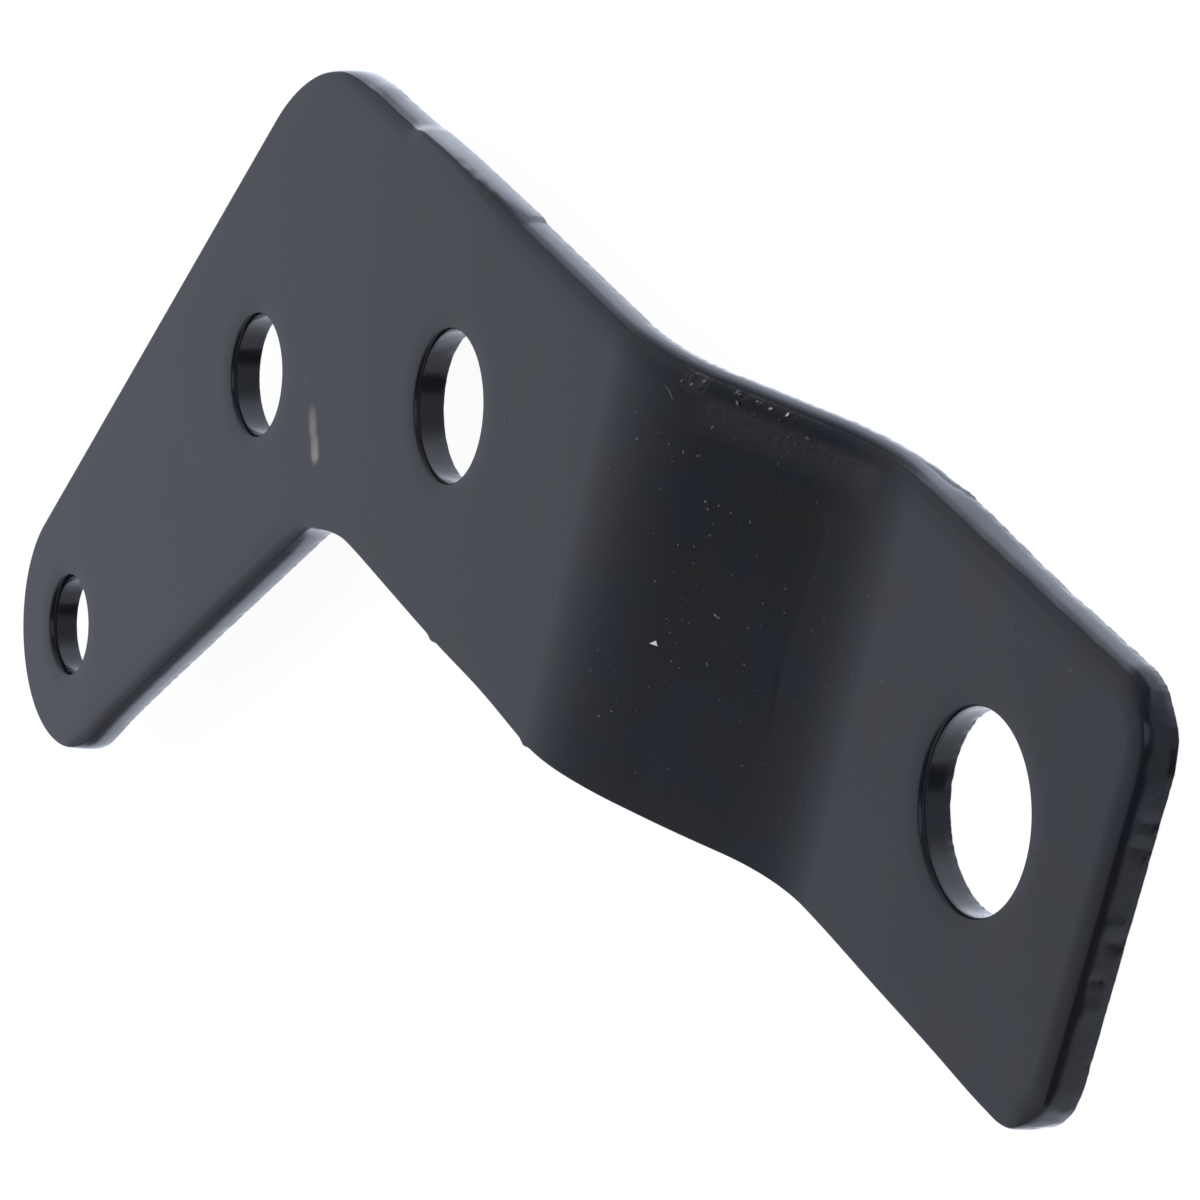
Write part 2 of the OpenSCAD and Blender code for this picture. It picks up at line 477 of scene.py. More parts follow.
# Forms of whole stretches of the edge, at stations
edgeForms = {
    # the stretch stands proud to its far end at the back, and runs out sooner beside the face
    "proud": {"begins": (-91.2, -88.6), "ends": (-68.4, -69.0), "frontEnds": (-69.0, -76.0),
              "back": (0.7, 1.9), "height": 0.23},
    "ripples": ((-80.4, 0.8, 0.08), (-78.0, 0.7, 0.1), (-75.6, 0.8, 0.08), (-73.4, 0.7, 0.05)),
    "rippleSlant": 0.8, "rippleDepth": (0.45, 0.5),
    "crotch": {"at": -90.5, "half": 4.0, "height": 0.33, "facing": (-0.6, 0.2)},    # fuller there
    # the strip is a little narrower between the head corner and the proud stretch
    "dip": {"begins": (-107.0, -101.5), "ends": (-81.0, -97.0), "depth": 0.48},
    "burr": {"begins": (-16.0, -11.0), "ends": (3.0, -11.0), "back": (1.2, 2.8), "height": 0.34},
    # at the leg's end: its middle and half width in degrees, within a distance of the leg bore
    "swell": {"middle": -45, "half": 25, "height": 0.38, "within": 18.0},
}


def addEdgeForms(out, loop, normals, shares, depths, near):
    forms = edgeForms
    s, y = loop[:, 0], loop[:, 1]
    proud = forms["proud"]
    begun = fade(s, *proud["begins"])
    front = begun * fade(s, *proud["frontEnds"])
    behind = begun * fade(s, *proud["ends"])
    stretch = front + (behind - front) * fade(depths, *proud["back"])
    out += shares["upper"] * stretch * proud["height"] * near["rim"]
    for at, half, deep in forms["ripples"]:
        line = hump(s + forms["rippleSlant"] * depths, at, half)
        out -= shares["upper"] * deep * line * hump(depths, *forms["rippleDepth"])
    crotch = forms["crotch"]
    filled = hump(s, crotch["at"], crotch["half"]) * (y < 0) * fade(normals[:, 0], *crotch["facing"])
    out += crotch["height"] * filled * near["face"]
    dip = forms["dip"]
    dipped = fade(s, *dip["begins"]) * fade(s, *dip["ends"]) * (y > 0)
    out -= dip["depth"] * dipped * near["face"]
    burr = forms["burr"]
    along = shares["upper"] * fade(s, *burr["begins"]) * fade(s, *burr["ends"])
    out += burr["height"] * along * fade(depths, *burr["back"]) * near["wall"]
    swell = forms["swell"]
    legX, legY = plate["leg"]
    turned = np.degrees(np.arctan2(y - legY, s - legX)) - swell["middle"]
    there = np.hypot(s - legX, y - legY) < swell["within"]
    out += swell["height"] * hump(turned, 0, swell["half"]) * there * near["face"]


# Smaller marks: stations along the edges, and y across the end face
smallMarks = {
    # flats on the back half of the two end corners: corner, middle and half width in degrees
    "flats": ((1, 49, 14), (1, 14, 8), (-1, -12, 9), (-1, -32, 7)),
    "flatBack": (0.9, 2.2),
    "nibs": {"at": (-66.9, -47.3), "height": 0.25, "half": 0.55},
    "hollows": ((-50.0, 10.0, 0.15), (-12.0, 6.0, 0.1), (-38.5, 6.0, 0.26), (-57.0, 7.0, 0.26),
                (13.0, 5.0, -0.15)),
    "sliver": {"begins": (-20.5, -14.5), "ends": (-11.35, -11.6), "height": 0.16, "reach": (0.5, 0.0),
               "depth": 2.3, "drops": (-15.5, -11.6), "drop": 0.35, "soft": 0.3,
               "groove": 0.07, "grooveHalf": 0.1},
    "dents": ((13.7, 1.2, 0.8, 0.1), (9.2, 2.1, 0.6, 0.1), (7.1, 2.0, 0.7, 0.12),
              (-0.75, 2.2, 0.7, 0.12), (-4.0, 1.6, 0.4, 0.14), (0.6, 1.8, 0.6, -0.05),
              (-6.45, 1.5, 0.8, -0.05), (-14.9, 1.0, 0.8, -0.05)),
}


def addSmallMarks(out, loop, shares, depths, insets, near):
    marks = smallMarks
    s, y = loop[:, 0], loop[:, 1]
    corner = plate["endRadius"]
    for side, middle, half in marks["flats"]:
        cx, cy = stationOf(plate["endX"]) - corner, side * (plate["halfWidth"] - corner)
        turned = np.arctan2(y - cy, s - cx) - math.radians(middle)
        flat = corner * (1 - math.cos(math.radians(half)) / np.cos(np.clip(turned, -1, 1)))
        there = (np.abs(turned) < math.radians(half)) * (s > cx)
        out -= np.maximum(flat, 0) * there * fade(depths, *marks["flatBack"]) * near["back"]
    nibs = marks["nibs"]
    for at in nibs["at"]:
        out += shares["lower"] * nibs["height"] * hump(s, at, nibs["half"]) * near["rim"]
    for at, half, deep in marks["hollows"]:
        out -= shares["lower"] * deep * hump(s, at, half) * near["face"]
    sliver = marks["sliver"]
    along = fade(s, *sliver["begins"]) * fade(s, *sliver["ends"])
    line = sliver["depth"] + sliver["drop"] * fade(s, *sliver["drops"])
    below = fade(depths, line, line + sliver["soft"]) * fade(insets, *sliver["reach"])
    out += shares["upper"] * along * sliver["height"] * below
    out -= shares["upper"] * along * sliver["groove"] * hump(depths, line, sliver["grooveHalf"])
    for at, down, radius, deep in marks["dents"]:
        out -= shares["end"] * deep * hump(np.hypot(y - at, depths - down), 0, radius)


# How far the walls may stand out, and where the torn metal of the shears shows through the paint as a grey
# that also paints in the reflection of the pale ground
wallFinish = {
    "limitFrom": 0.2,                        # share of a cut from which its limit holds
    "proudest": 0.35,                        # top of the proud stretch
    "tornAndReflection": (0.75, 1.25),                    # depths where the torn grey and its painted reflection begin on the upper edge
    "tornAndReflectionOnWeb": 0.45,                       # and how much lower that is on the web
    "innerTornAndReflection": (0.8, 2.2),
    "tornAndReflectionReach": (0.5, 0.3),
    "faceEnds": (1.0, 0.5),                  # depths over which the face's marks run out
}


# Moves the rows of the outline by what the shears and the paint left there
def dressOutline(loop, normals, shares, insets, depths):
    finish = wallFinish
    s, y = loop[:, 0], loop[:, 1]
    near = {name: fade(insets, *reach) for name, reach in rowReach.items()}
    out = np.zeros(insets.shape)
    addShearMarks(out, loop, depths, near)
    addEdgeForms(out, loop, normals, shares, depths, near)
    addSmallMarks(out, loop, shares, depths, insets, near)
    # nothing stands out past the free end or past the top of the proud stretch
    atEnd, atTop = shares["end"] > finish["limitFrom"], shares["upper"] > finish["limitFrom"]
    out = np.where(atEnd, np.minimum(out, insets), out)
    out = np.where(atTop, np.minimum(out, insets + finish["proudest"]), out)
    # marks on the face run on over the roll, as they are seen from the front
    seenY = y - insets * normals[:, 1] + faceMarks["foreshortened"] * depths
    seenS = s - insets * normals[:, 0]
    rise, tone = markFace(seenS, seenY)
    onFront = fade(depths, *finish["faceEnds"])
    rise *= onFront
    outward, upward = rowNormals(insets, depths)
    cornerFrom = stationOf(plate["endX"]) - plate["endRadius"]
    beforeCorner = fade(s, cornerFrom + 1, cornerFrom - 1)
    # painted reflection: the pale ground's reflection is painted as grey on the upper and inner walls,
    # growing towards the back, starting lower on the web and fading before the end corner, together with
    # the torn metal's own grey
    lowered = depths - finish["tornAndReflectionOnWeb"] * onWeb(s)
    tornAndReflection = shares["upper"] * fade(lowered, *finish["tornAndReflection"]) * beforeCorner
    tornAndReflection += shares["inner"] * fade(depths, *finish["innerTornAndReflection"])
    tornAndReflection *= fade(insets, *finish["tornAndReflectionReach"])
    return insets - out - rise * outward, depths - rise * upward, tone * onFront, tornAndReflection


# What all four bores share: the spacing of their points, and the marks of the punch
boreEdge = {
    "step": 0.28, "drawWidth": 2.4, "drawRows": 6, "wallRows": 9, "lean": 0.04,
    "wall": (0.2, 0.8), "wallReach": (0.8, 0.1),             # depths and insets that the marks keep to
    "back": (2.3, 2.9), "backReach": (0.9, 0.3),
    "wave": 0.02, "waveScale": 3,
    "drag": 0.02, "dragLength": 0.8, "dragSlant": 0.8, "dragFrom": (-0.2, 0.6),
    "tearLength": 0.9, "fineTear": 0.5, "fineLength": 0.35,
}


def dressBore(bore, angles, insets, depths):
    marks = boreEdge
    run = angles * bore["radius"]
    onWall = fade(depths, *marks["wall"]) * fade(insets, *marks["wallReach"])
    back = fade(depths, *marks["back"]) * fade(insets, *marks["backReach"])
    x, y = np.cos(angles), np.sin(angles)
    wave = noiseAt(marks["waveScale"] * x, marks["waveScale"] * y, 0.3 * depths)
    out = -marks["wave"] * onWall * (0.5 + 0.5 * wave)
    # the punch dragged slanted lines down the wall
    slanted = run[None] + marks["dragSlant"] * depths
    lines = np.abs(noiseAt(slanted / marks["dragLength"], bore["radius"], 2.0))
    out -= marks["drag"] * onWall * lines * fade(y, *marks["dragFrom"])
    ragged = np.abs(noiseAt(run / marks["tearLength"], 5.1, bore["radius"]))
    ragged += marks["fineTear"] * np.abs(noiseAt(run / marks["fineLength"], 2.3, bore["radius"]))
    out -= bore["tear"] * back * ragged[None]
    return insets - out, depths


# Collects the rings and faces of the one closed mesh
class PlateMesh:
    def __init__(self):
        self.flat = []                       # station, y and depth of every point
        self.tone = []                       # how pale the paint is there, painted highlights of the glints included
        self.tornAndReflection = []                       # how much of the torn wall's grey shows through it, a grey that also paints in the ground's reflection
        self.faces = []
        self.finish = []                     # 0 on the faces of the plate, 1 on its walls
        self.count = 0

    def addPoints(self, s, y, depth, tone=None, tornAndReflection=None):
        first = self.count
        self.flat.append(np.stack([s, y, depth], 1))
        self.tone.append(np.zeros(len(s)) if tone is None else tone)
        self.tornAndReflection.append(np.zeros(len(s)) if tornAndReflection is None else tornAndReflection)
        self.count += len(s)
        return np.arange(first, self.count)

    # A stack of rings along a loop. Returns the first and the last ring's point numbers.
    def addRings(self, loop, normals, insets, depths, tone, tornAndReflection, wallFrom):
        rings = []
        for k in range(len(insets)):
            at = loop - normals * insets[k][:, None]
            depth = np.minimum(depths[k], plate["thick"])
            rings.append(self.addPoints(at[:, 0], at[:, 1], depth, tone[k], tornAndReflection[k]))
        backFrom = len(rings) - 1 - len(edge["backInsets"])
        for k, (a, b) in enumerate(zip(rings, rings[1:])):
            a2, b2 = np.roll(a, -1), np.roll(b, -1)
            self.faces.extend(np.stack([a, a2, b2, b], 1).tolist())
            self.finish.extend([1 if wallFrom <= k < backFrom else 0] * len(a))
        return rings[0], rings[-1]

    # Fills the face between the loops, over the inner points
    def addCap(self, loops, inner, depth, tone, flip):
        flat = np.concatenate(self.flat)
        rims = np.concatenate(loops)
        coords = [Vector(flat[i, :2]) for i in rims] + [Vector(p) for p in inner]
        edges, first = [], 0
        for loop in loops:
            size = len(loop)
            edges += [(first + k, first + (k + 1) % size) for k in range(size)]
            first += size
        numbers = np.concatenate([rims, self.addPoints(inner[:, 0], inner[:, 1], depth, tone)])
        _, _, corners, origin, _, _ = delaunay_2d_cdt(coords, edges, [], 0, 1e-6)
        tris = [[origin[i][0] for i in corner] for corner in corners]
        # spread from one triangle inside, and stop at the rims
        sides = {}
        for n, tri in enumerate(tris):
            for k in range(3):
                sides.setdefault(frozenset((tri[k], tri[k - 1])), []).append(n)
        rimEdges = {frozenset(e) for e in edges}
        start = next(n for n, tri in enumerate(tris) if max(tri) >= len(rims))
        reached, todo = {start}, [start]
        while todo:
            tri = tris[todo.pop()]
            for k in range(3):
                side = frozenset((tri[k], tri[k - 1]))
                if side not in rimEdges:
                    fresh = [n for n in sides[side] if n not in reached]
                    reached.update(fresh)
                    todo += fresh
        for n in sorted(reached):
            face = [numbers[i] for i in tris[n]]
            self.faces.append(face[::-1] if flip else face)
            self.finish.append(0)


def insideLoop(points, loop):
    x, y = points[:, 0][:, None], points[:, 1][:, None]
    x0, y0 = loop[:, 0][None], loop[:, 1][None]
    x1, y1 = np.roll(x0, -1, 1), np.roll(y0, -1, 1)
    crosses = (y0 > y) != (y1 > y)
    with np.errstate(divide="ignore", invalid="ignore"):
        hit = crosses & (x < (x1 - x0) * (y - y0) / (y1 - y0) + x0)
    return hit.sum(1) % 2 == 1


def nearLoop(points, loop, gap):
    near = np.zeros(len(points), bool)
    for i in range(0, len(points), 1000):
        d = points[i:i + 1000, None] - loop[None]
        near[i:i + 1000] = (d ** 2).sum(2).min(1) < gap * gap
    return near


# Points inside the two faces, closer together over the bends, the crease and the smears
grid = {
    "from": -158.0, "to": 24.0, "step": 2.0, "bendStep": 0.5,
    "low": -67.0, "high": 19.5, "rowStep": 1.5,
    # first and last station, lowest and highest y, and the steps along both
    "fine": ((-26.0, -22.4, -10.0, 12.4, 0.15, 0.7), (-101.6, -94.4, -16.2, -8.8, 0.25, 0.25)),
    "rimGap": 0.4,
}


def spread(stations, rows):
    s, y = np.meshgrid(stations, rows)
    return np.stack([s.ravel(), y.ravel()], 1)


def gridPoints(front):
    stations = list(np.arange(grid["from"], bendOneStart - 1, grid["step"]))
    stations += list(np.arange(bendOneStart - 0.5, bendTwoEnd + 0.6, grid["bendStep"]))
    stations += list(np.arange(bendTwoEnd + 2.0, grid["to"], grid["step"]))
    coarse = spread(stations, np.arange(grid["low"], grid["high"], grid["rowStep"]))
    if not front:
        return coarse
    dense = []
    for s0, s1, y0, y1, step, rise in grid["fine"]:
        keep = (coarse[:, 0] < s0) | (coarse[:, 0] > s1) | (coarse[:, 1] < y0) | (coarse[:, 1] > y1)
        coarse = coarse[keep]
        dense.append(spread(np.arange(s0, s1, step), np.arange(y0, y1, rise)))
    return np.concatenate([coarse] + dense)


# Closer points beside the blistered paint and round the free end
def refineLoop(loop, normals):
    points, outs = [], []
    for i in range(len(loop)):
        a, b = loop[i], loop[(i + 1) % len(loop)]
        length = float(np.hypot(*(b - a)))
        count = 1
        if a[1] > plate["halfWidth"] - 0.01 and edge["fineFrom"] < a[0] < edge["fineTo"]:
            count = max(1, round(length / edge["fineStep"]))
        elif a[0] > edge["endFrom"]:
            count = max(1, round(length / edge["endStep"]))
        for k in range(count):
            points.append(a + (b - a) * k / count)
            between = normals[i] * (count - k) + normals[(i + 1) % len(loop)] * k
            outs.append(between / np.hypot(*between))
    return np.array(points), np.array(outs)


# The rows of the outer edge. Returns its first and last ring, as addRings does.
def addOutline(built):
    loop, normals = refineLoop(*roundedLoop(plateCorners(), edge["step"]))
    values, shares = cutValues(loop, normals)
    insets, depths = edgeRows(values, edge["drawWidth"], edge["drawRows"], edge["wallRows"])
    insets, depths, tone, tornAndReflection = dressOutline(loop, normals, shares, insets, depths)
    return built.addRings(loop, normals, insets, depths, tone, tornAndReflection, edge["drawRows"])


def addBore(built, bore):
    steps = int(2 * math.pi * bore["radius"] / boreEdge["step"])
    angles = np.arange(steps) * 2 * math.pi / steps
    ring = np.stack([np.cos(angles), np.sin(angles)], 1)
    loop = np.array([stationOf(bore["at"][0]), bore["at"][1]]) + ring * bore["radius"]
    even = np.ones(steps)
    values = {"rows": np.array(rolls["small"])[:, :, None] * bore["roll"] * even, "turn": even,
              "sink": bore["sink"] * even, "bulge": 0 * even, "lean": boreEdge["lean"] * even}
    insets, depths = edgeRows(values, boreEdge["drawWidth"], boreEdge["drawRows"], boreEdge["wallRows"])
    insets, depths = dressBore(bore, angles, insets, depths)
    none = np.zeros(insets.shape)
    return built.addRings(loop, -ring, insets, depths, none, none, boreEdge["drawRows"])


# The front or the back face, between the rims of the outline and the bores
def addFace(built, loops, depth, front):
    flat = np.concatenate(built.flat)
    rims = [flat[numbers, :2] for numbers in loops]
    inner = gridPoints(front)
    inside = insideLoop(inner, rims[0])
    for rim in rims[1:]:
        inside &= ~insideLoop(inner, rim)
    inner = inner[inside]
    for rim in rims:
        inner = inner[~nearLoop(inner, rim, grid["rimGap"])]
    height, tone = markFace(inner[:, 0], inner[:, 1])
    if not front:
        height, tone = 0 * height, 0 * tone
    built.addCap(loops, inner, depth - height, tone, not front)


def makePlate():
    built = PlateMesh()
    rings = [addOutline(built)] + [addBore(built, bore) for bore in bores.values()]
    addFace(built, [first for first, last in rings], 0.0, True)
    addFace(built, [last for first, last in rings], plate["thick"], False)
    flat = np.concatenate(built.flat)
    points = intoSpace(flat[:, 0], flat[:, 1], flat[:, 2]) * mm
    mesh = bpy.data.meshes.new("bracketPlate")
    mesh.from_pydata(points.tolist(), [], built.faces)
    mesh.polygons.foreach_set("material_index", built.finish)
    for name, column in (("tone", built.tone), ("tornAndReflection", built.tornAndReflection)):
        layer = mesh.attributes.new(name, "FLOAT", "POINT")
        layer.data.foreach_set("value", np.concatenate(column).astype(np.float32))
    mesh.update()
    mesh.shade_smooth()
    piece = bpy.data.objects.new("bracketPlate", mesh)
    bpy.context.scene.collection.objects.link(piece)
    return piece


piece = makePlate()
print("plate built:", len(piece.data.vertices), "points,", len(piece.data.polygons), "faces")


# Specks of dust caught in the paint
dust = {
    "seed": 11,
    "web": 320, "webAlong": (-32, 10), "webAcross": (-16.5, 18),    # gathered round one station
    "elsewhere": 160, "along": (-118, 19), "across": (-16.5, 16.5),
    "small": 0.03, "large": 0.11,            # radius
    "longer": 1.8,                           # how much longer than wide they are at most
    "proud": 0.03, "sunk": 0.03,             # how far they stand out of the paint at most, and reach in
    "boreGap": 1.5,
    "sides": 7,
}


# A point above the face, and the directions along, across and out of it
def onFace(s, y, height):
    x, z, angle = foldStrip(np.array([s]))
    out = Vector((math.sin(angle[0]), 0, math.cos(angle[0])))
    along = Vector((out.z, 0, -out.x))
    return Vector((x[0], y, z[0])) + out * height, along, Vector((0, 1, 0)), out


def addMesh(name, points, faces):
    mesh = bpy.data.meshes.new(name)
    mesh.from_pydata([tuple(p * mm) for p in points], [], faces)
    mesh.update()
    mesh.shade_smooth()
    made = bpy.data.objects.new(name, mesh)
    bpy.context.scene.collection.objects.link(made)
    return made


# A low round or drawn-out speck that sits in the face
def addSpeck(points, faces, s, y, radius, longer, turn):
    centre, along, across, out = onFace(s, y, 0)
    first = len(points)
    sides = dust["sides"]
    proud = min(0.5 * radius, dust["proud"])
    for share, high in ((1.0, -dust["sunk"]), (0.95, 0.2 * proud), (0.6, 0.85 * proud)):
        for k in range(sides):
            a = 2 * math.pi * k / sides
            u, v = radius * share * longer * math.cos(a), radius * share * math.sin(a)
            u, v = u * math.cos(turn) - v * math.sin(turn), u * math.sin(turn) + v * math.cos(turn)
            points.append(centre + along * u + across * v + out * high)
    points.append(centre + out * proud)
    for ring in (0, 1):
        for k in range(sides):
            a, b = first + ring * sides + k, first + ring * sides + (k + 1) % sides
            faces.append((a, b, b + sides, a + sides))
    for k in range(sides):
        faces.append((first + 2 * sides + k, first + 2 * sides + (k + 1) % sides, first + 3 * sides))
    faces.append(tuple(first + k for k in reversed(range(sides))))


# Whether a speck lies clear of all the bores
def clearOfBores(s, y):
    for bore in bores.values():
        away = math.hypot(s - stationOf(bore["at"][0]), y - bore["at"][1])
        if away <= bore["radius"] + dust["boreGap"]:
            return False
    return True


def makeSpecks():
    pick = random.Random(dust["seed"])
    points, faces = [], []
    for n in range(dust["web"] + dust["elsewhere"]):
        if n < dust["web"]:
            s, y = pick.gauss(*dust["webAlong"]), pick.uniform(*dust["webAcross"])
        else:
            s, y = pick.uniform(*dust["along"]), pick.uniform(*dust["across"])
        radius = dust["small"] + (dust["large"] - dust["small"]) * pick.random() ** 4
        longer, turn = 1 + dust["longer"] * pick.random() ** 3, pick.uniform(0, math.pi)
        if clearOfBores(s, y) and s < dust["along"][1]:
            addSpeck(points, faces, s, y, radius, longer, turn)
    return addMesh("paintSpecks", points, faces)


# A three-cornered chip that stands on the paint
paintChip = {
    "corners": ((-36.18, -4.30), (-35.63, -3.81), (-35.36, -4.23)),
    "height": 0.04, "sunk": 0.02,
    "top": 0.9,                              # size of its top beside its foot
}


def makeChip():
    corners, top = paintChip["corners"], paintChip["top"]
    points = [onFace(s, y, -paintChip["sunk"])[0] for s, y in corners]
    middle = [sum(c[k] for c in corners) / 3 * (1 - top) for k in (0, 1)]
    for s, y in corners:
        points.append(onFace(s * top + middle[0], y * top + middle[1], paintChip["height"])[0])
    faces = [(3, 5, 4), (0, 1, 2)] + [(k, k + 3, (k + 1) % 3 + 3, (k + 1) % 3) for k in range(3)]
    chip = addMesh("paintChip", points, faces)
    chip.data.shade_flat()
    return chip


# A short fibre that lies along its route in the paint, thinner at both ends
paintFibre = {
    "route": ((-40.55, 16.80), (-40.15, 16.68), (-39.75, 16.42), (-39.45, 16.12), (-39.30, 15.90)),
    "radius": 0.045, "thinner": 0.4,
    "lift": 0.3,                             # height of its middle, in radii
    "sides": 6,
}


def makeFibre():
    sides, radius, route = paintFibre["sides"], paintFibre["radius"], paintFibre["route"]
    last = len(route) - 1
    points, faces = [], []
    for n, (s, y) in enumerate(route):
        centre, along, across, out = onFace(s, y, paintFibre["lift"] * radius)
        here = Vector(route[min(n + 1, last)]) - Vector(route[max(n - 1, 0)])
        ahead = (along * here.x + across * here.y).normalized()
        beside = ahead.cross(out)
        size = radius * (paintFibre["thinner"] if n in (0, last) else 1)
        for k in range(sides):
            a = 2 * math.pi * k / sides
            points.append(centre + (beside * math.cos(a) + out * math.sin(a)) * size)
    for n in range(last):
        for k in range(sides):
            a, b = n * sides + k, n * sides + (k + 1) % sides
            faces.append((a, a + sides, b + sides, b))
    faces.append(tuple(range(sides)))
    faces.append(tuple(last * sides + k for k in reversed(range(sides))))
    return addMesh("paintFibre", points, faces)


specks = makeSpecks()
chip = makeChip()
fibre = makeFibre()
print("marks built:", len(specks.data.polygons), "faces of specks")


# Paint: thin gloss black, a little greyer where it covers the torn walls, and that grey also paints in the
# reflection of the pale ground
paint = {
    "color": (0.0045, 0.006, 0.0095, 1.0),
    "warm": (0.0075, 0.0065, 0.0065, 1.0),   # patches of a browner black
    "pale": (0.64, 0.58, 0.51, 1.0),         # scuffs, smears, and the painted highlights of the glints
    # grey of the torn walls, which also stands in for the pale ground's reflection in them
    "tornAndReflectionColor": (0.075, 0.085, 0.1, 1.0),
    "patchScale": 160.0, "patchRange": (0.4, 0.65),
    "roughness": 0.16,
    "uneven": 0.03, "unevenRange": (0.3, 0.7),    # how much it varies with the patches
    "scuffed": 0.32, "scuffTone": 0.08,      # roughness where it is scuffed, and from which tone on
    "ior": 1.5,
    "peelScale": 1100.0, "peel": 0.05,       # orange peel
    "grainScale": 1500.0, "grain": 0.12,     # shear grain on the walls
    "grainStretch": (1.0, 1.0, 0.12),        # which runs down them
    "bumpDepth": 0.00005,                    # in metres
}


def link(tree, a, b):
    tree.links.new(a, b)


# Adds a node and sets its inputs
def addNode(tree, kind, **values):
    made = tree.nodes.new(kind)
    for name, value in values.items():
        if hasattr(made, name):
            setattr(made, name, value)
        else:
            made.inputs[name.replace("_", " ")].default_value = value
    return made


def mixColors(tree, factor, a, b):
    mix = addNode(tree, "ShaderNodeMix", data_type="RGBA")
    link(tree, factor, mix.inputs[0])
    for socket, value in ((mix.inputs[6], a), (mix.inputs[7], b)):
        if isinstance(value, tuple):
            socket.default_value = value
        else:
            link(tree, value, socket)
    return mix.outputs[2]


# Takes a value from one range to another
def mapRange(tree, source, limits, levels, **more):
    made = addNode(tree, "ShaderNodeMapRange", From_Min=limits[0], From_Max=limits[1], To_Min=levels[0],
                   To_Max=levels[1], **more)
    link(tree, source, made.inputs["Value"])
    return made.outputs[0]


def joined(tree, operation, a, b):
    made = addNode(tree, "ShaderNodeMath", operation=operation)
    link(tree, a, made.inputs[0])
    link(tree, b, made.inputs[1])
    return made.outputs[0]


def newMaterial(name):
    material = bpy.data.materials.new(name)
    material.use_nodes = True
    return material, material.node_tree


def noiseTexture(tree, where, scale, detail):
    texture = addNode(tree, "ShaderNodeTexNoise", Scale=scale, Detail=detail)
    link(tree, where, texture.inputs["Vector"])
    return texture.outputs[0]


def makePaint(name, onWall):
    material, tree = newMaterial(name)
    shader = tree.nodes["Principled BSDF"]
    coord = addNode(tree, "ShaderNodeTexCoord").outputs["Object"]
    patches = noiseTexture(tree, coord, paint["patchScale"], 3.0)
    warmth = mapRange(tree, patches, paint["patchRange"], (0.0, 1.0))
    color = mixColors(tree, warmth, paint["color"], paint["warm"])
    if onWall:
        # the torn walls' grey, which also paints in the pale ground's reflection
        tornAndReflection = addNode(tree, "ShaderNodeAttribute", attribute_name="tornAndReflection")
        color = mixColors(tree, tornAndReflection.outputs["Fac"], color, paint["tornAndReflectionColor"])
    # pale marks, and the painted highlights of the glints
    tone = addNode(tree, "ShaderNodeAttribute", attribute_name="tone").outputs["Fac"]
    color = mixColors(tree, tone, color, paint["pale"])
    link(tree, color, shader.inputs["Base Color"])
    rough = mapRange(tree, tone, (0.0, paint["scuffTone"]), (paint["roughness"], paint["scuffed"]))
    uneven = mapRange(tree, patches, paint["unevenRange"], (-paint["uneven"], paint["uneven"]))
    link(tree, joined(tree, "ADD", rough, uneven), shader.inputs["Roughness"])
    shader.inputs["IOR"].default_value = paint["ior"]
    if onWall:
        stretch = addNode(tree, "ShaderNodeMapping", Scale=paint["grainStretch"])
        link(tree, coord, stretch.inputs["Vector"])
        peel = noiseTexture(tree, stretch.outputs[0], paint["grainScale"], 2.0)
    else:
        peel = noiseTexture(tree, coord, paint["peelScale"], 2.0)
    bump = addNode(tree, "ShaderNodeBump", Distance=paint["bumpDepth"],
                   Strength=paint["grain" if onWall else "peel"])
    link(tree, peel, bump.inputs["Height"])
    link(tree, bump.outputs[0], shader.inputs["Normal"])
    return material


# Dust and bare grain: matt, and a little darker or paler from place to place
dustFinish = {
    "scale": 350.0, "range": (0.35, 0.65),
    "dustUnderPaint": {"dark": (0.015, 0.0145, 0.014, 1.0), "light": (0.12, 0.11, 0.1, 1.0), "rough": 0.5},
    "chippedPaint": {"dark": (0.5, 0.48, 0.42, 1.0), "light": (0.62, 0.6, 0.54, 1.0), "rough": 0.6},
    "fibreUnderPaint": {"dark": (0.07, 0.065, 0.06, 1.0), "light": (0.14, 0.13, 0.12, 1.0), "rough": 0.5},
}


def makeDust(name):
    material, tree = newMaterial(name)
    shader = tree.nodes["Principled BSDF"]
    look = dustFinish[name]
    coord = addNode(tree, "ShaderNodeTexCoord").outputs["Object"]
    cells = noiseTexture(tree, coord, dustFinish["scale"], 1.0)
    share = mapRange(tree, cells, dustFinish["range"], (0.0, 1.0))
    link(tree, mixColors(tree, share, look["dark"], look["light"]), shader.inputs["Base Color"])
    shader.inputs["Roughness"].default_value = look["rough"]
    return material


piece.data.materials.append(makePaint("blackPaint", False))
piece.data.materials.append(makePaint("shearedWallPaintAndReflection", True))
specks.data.materials.append(makeDust("dustUnderPaint"))
chip.data.materials.append(makeDust("chippedPaint"))
fibre.data.materials.append(makeDust("fibreUnderPaint"))
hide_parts("bracket")
for part in (piece, specks, chip, fibre):
    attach(part, "root")
print("paint applied")


# A pale floor, seen nearly white, with the object's shadow
floorPaper = {
    "size": 3.0, "drop": 0.0002,             # in metres
    "color": (0.9, 0.9, 0.91, 1.0),
    "white": 0.95,                           # share of plain white that the view sees on it
    "shade": 0.1,                            # share of its real shading, which holds the shadow
}


def mixShaders(tree, share, a, b):
    mix = addNode(tree, "ShaderNodeMixShader")
    for k, source in enumerate((share, a, b)):
        link(tree, source, mix.inputs[k])
    return mix.outputs[0]


